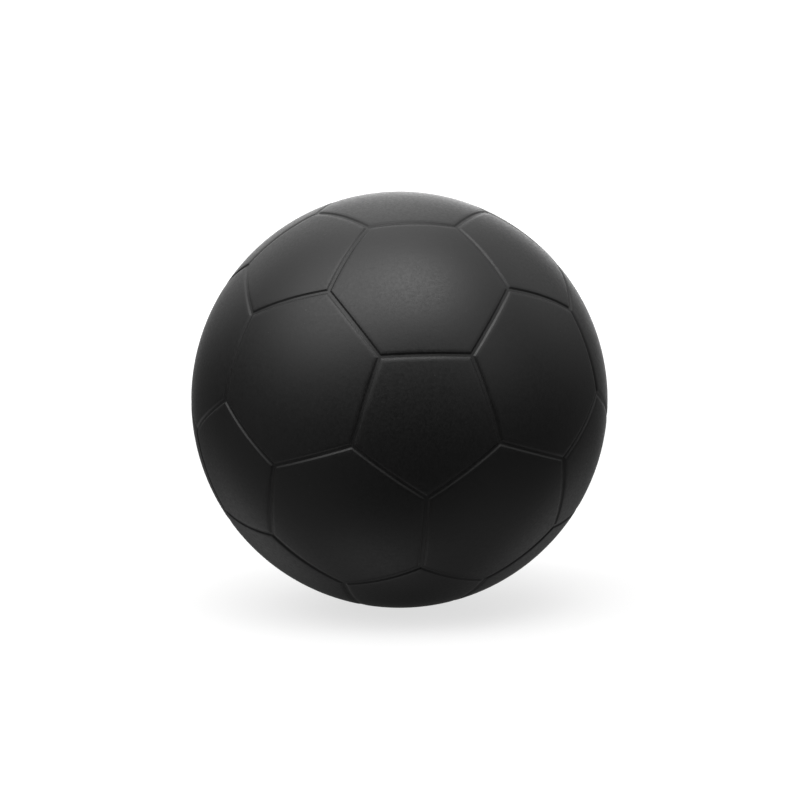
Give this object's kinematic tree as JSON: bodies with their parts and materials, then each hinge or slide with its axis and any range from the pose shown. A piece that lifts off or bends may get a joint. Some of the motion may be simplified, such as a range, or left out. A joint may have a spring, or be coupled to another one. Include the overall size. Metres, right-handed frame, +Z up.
{
  "type": "watch case opening friction ball",
  "caption": "Inflatable black rubber ball with panel-and-channel relief and a needle valve, pressed and twisted by hand to turn screw-down watch case backs.",
  "frame": {"origin": "centre of the ball", "axes": "+Y along the inflation valve, out of its needle hole at the back; +Z up, where the palm rests; -Z down, where the ball meets the case back; +X level, to the right seen from the front. The front, -Y, is the five-sided panel opposite the valve, with one edge up and one corner down"},
  "size_m": [0.065, 0.065, 0.065],
  "materials": {
    "cover_rubber": "moulded matte black, fine even grain",
    "bladder_rubber": "dull black-brown butyl, dusted with talc",
    "patch_rubber": "dull, calendered sheet",
    "housing_rubber": "moulded, satin",
    "plug_rubber": "soft moulded, satin"
  },
  "bodies": {
    "root": {"cover": "cover_rubber", "bladder": "bladder_rubber", "valve_patch": "patch_rubber", "valve_housing": "housing_rubber", "valve_plug": "plug_rubber"}
  },
  "joints": []
}
